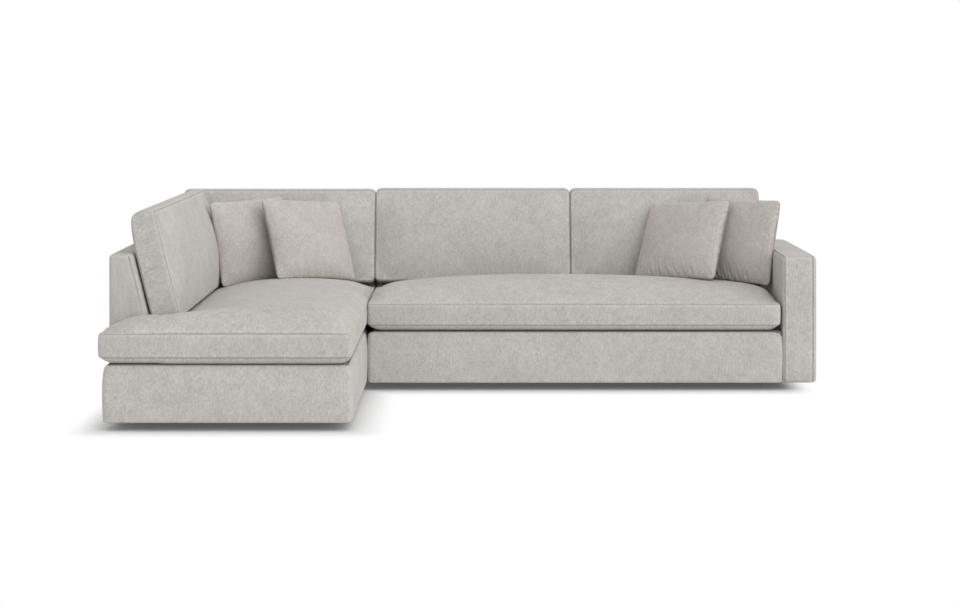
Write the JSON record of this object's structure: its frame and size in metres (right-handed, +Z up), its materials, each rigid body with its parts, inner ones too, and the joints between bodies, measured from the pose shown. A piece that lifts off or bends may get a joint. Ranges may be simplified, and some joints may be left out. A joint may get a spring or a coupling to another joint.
{
  "type": "bumper sectional sofa",
  "caption": "Sectional sofa whose L-shaped bumper seat wraps a raked left back, with a bench seat, track arm, loose back cushions and throw pillows over a sprung timber base.",
  "frame": {"origin": "centre of the footprint's box, on the floor", "axes": "+X to the right of someone facing the sofa, +Y to its rear, +Z up"},
  "size_m": [3.112, 2.08, 0.8887],
  "materials": {
    "woven_fabric": "slubby woven, matt",
    "cushion_fabric": "slubby woven, matt",
    "pillow_fabric": "slubby woven, matt",
    "deck_cloth": "plain deck cloth",
    "dust_cloth": "black non-woven",
    "frame_timber": "sawn, unfinished",
    "spring_steel": "drawn wire",
    "connector_steel": "zinc plated",
    "foot_wood": "dark stain"
  },
  "bodies": {
    "sofa_section": {"sofa_front_rail": "frame_timber", "sofa_rear_rail": "frame_timber", "sofa_left_rail": "frame_timber", "sofa_centre_stretcher": "frame_timber", "sofa_right_rail": "frame_timber", "sofa_seat_spring_1": "spring_steel", "sofa_seat_spring_2": "spring_steel", "sofa_seat_spring_3": "spring_steel", "sofa_deck_pad": "deck_cloth", "sofa_front_apron": "woven_fabric", "sofa_left_apron": "woven_fabric", "sofa_dust_cover": "dust_cloth", "sofa_foot_front_left": "foot_wood", "sofa_foot_front_right": "foot_wood", "sofa_foot_rear_left": "foot_wood", "sofa_foot_rear_right": "foot_wood", "sofa_back_cover": "woven_fabric", "sofa_back_top_rail": "frame_timber", "sofa_back_post_left": "frame_timber", "sofa_back_post_right": "frame_timber", "sofa_arm_cover": "woven_fabric", "sofa_arm_panel": "frame_timber", "sofa_connector_front": "connector_steel", "sofa_connector_rear": "connector_steel"},
    "bumper_section": {"bumper_left_rail": "frame_timber", "bumper_right_rail": "frame_timber", "bumper_front_rail": "frame_timber", "bumper_stretcher": "frame_timber", "bumper_rear_rail": "frame_timber", "bumper_seat_spring_1": "spring_steel", "bumper_seat_spring_2": "spring_steel", "bumper_seat_spring_3": "spring_steel", "bumper_deck_pad": "deck_cloth", "bumper_front_apron": "woven_fabric", "bumper_right_apron": "woven_fabric", "bumper_left_apron": "woven_fabric", "bumper_dust_cover": "dust_cloth", "bumper_foot_front_left": "foot_wood", "bumper_foot_front_right": "foot_wood", "bumper_foot_rear_left": "foot_wood", "bumper_foot_rear_right": "foot_wood", "bumper_left_back_cover": "woven_fabric", "bumper_rear_back_cover": "woven_fabric", "bumper_rear_top_rail": "frame_timber", "bumper_corner_post": "frame_timber", "bumper_right_post": "frame_timber", "bumper_left_top_rail": "frame_timber", "bumper_front_post": "frame_timber", "bumper_connector_front": "connector_steel", "bumper_connector_rear": "connector_steel"},
    "bench_seat": {"bench_seat_cushion": "cushion_fabric"},
    "bumper_seat": {"bumper_seat_cushion": "cushion_fabric"},
    "corner_cushion": {"corner_back_cushion": "cushion_fabric"},
    "middle_cushion": {"middle_back_cushion": "cushion_fabric"},
    "right_cushion": {"right_back_cushion": "cushion_fabric"},
    "left_cushion": {"left_back_cushion": "cushion_fabric"},
    "corner_throw": {"corner_pillow": "pillow_fabric"},
    "left_throw": {"left_front_pillow": "pillow_fabric"},
    "right_throw": {"right_front_pillow": "pillow_fabric"},
    "arm_throw": {"arm_pillow": "pillow_fabric"}
  },
  "joints": [
    {"name": "bumper_pull", "type": "slide", "parent": "sofa_section", "child": "bumper_section", "axis": [-1, 0, 0], "range_m": [0, 0.5]},
    {"name": "bench_seat_slide", "type": "slide", "parent": "sofa_section", "child": "bench_seat", "axis": [0, -1, 0], "range_m": [0, 0.45]},
    {"name": "bumper_seat_slide", "type": "slide", "parent": "bumper_section", "child": "bumper_seat", "axis": [0, -1, 0], "range_m": [0, 0.6]},
    {"name": "corner_cushion_lift", "type": "slide", "parent": "bumper_section", "child": "corner_cushion", "axis": [0, 0.2419, 0.9703], "range_m": [0, 0.35]},
    {"name": "middle_cushion_lift", "type": "slide", "parent": "sofa_section", "child": "middle_cushion", "axis": [0, 0.2419, 0.9703], "range_m": [0, 0.35]},
    {"name": "right_cushion_lift", "type": "slide", "parent": "sofa_section", "child": "right_cushion", "axis": [0, 0.2419, 0.9703], "range_m": [0, 0.35]},
    {"name": "left_cushion_lift", "type": "slide", "parent": "bumper_section", "child": "left_cushion", "axis": [-0.2419, 0, 0.9703], "range_m": [0, 0.35]},
    {"name": "corner_throw_lift", "type": "slide", "parent": "bumper_section", "child": "corner_throw", "axis": [-0.12, 0.16, 0.9798], "range_m": [0, 0.3]},
    {"name": "left_throw_lift", "type": "slide", "parent": "bumper_section", "child": "left_throw", "axis": [0.3498, -0.5997, 0.7197], "range_m": [0, 0.3]},
    {"name": "right_throw_lift", "type": "slide", "parent": "sofa_section", "child": "right_throw", "axis": [-0.3498, -0.5997, 0.7197], "range_m": [0, 0.3]},
    {"name": "arm_throw_lift", "type": "slide", "parent": "sofa_section", "child": "arm_throw", "axis": [0.1, 0.1701, 0.9803], "range_m": [0, 0.3]}
  ]
}
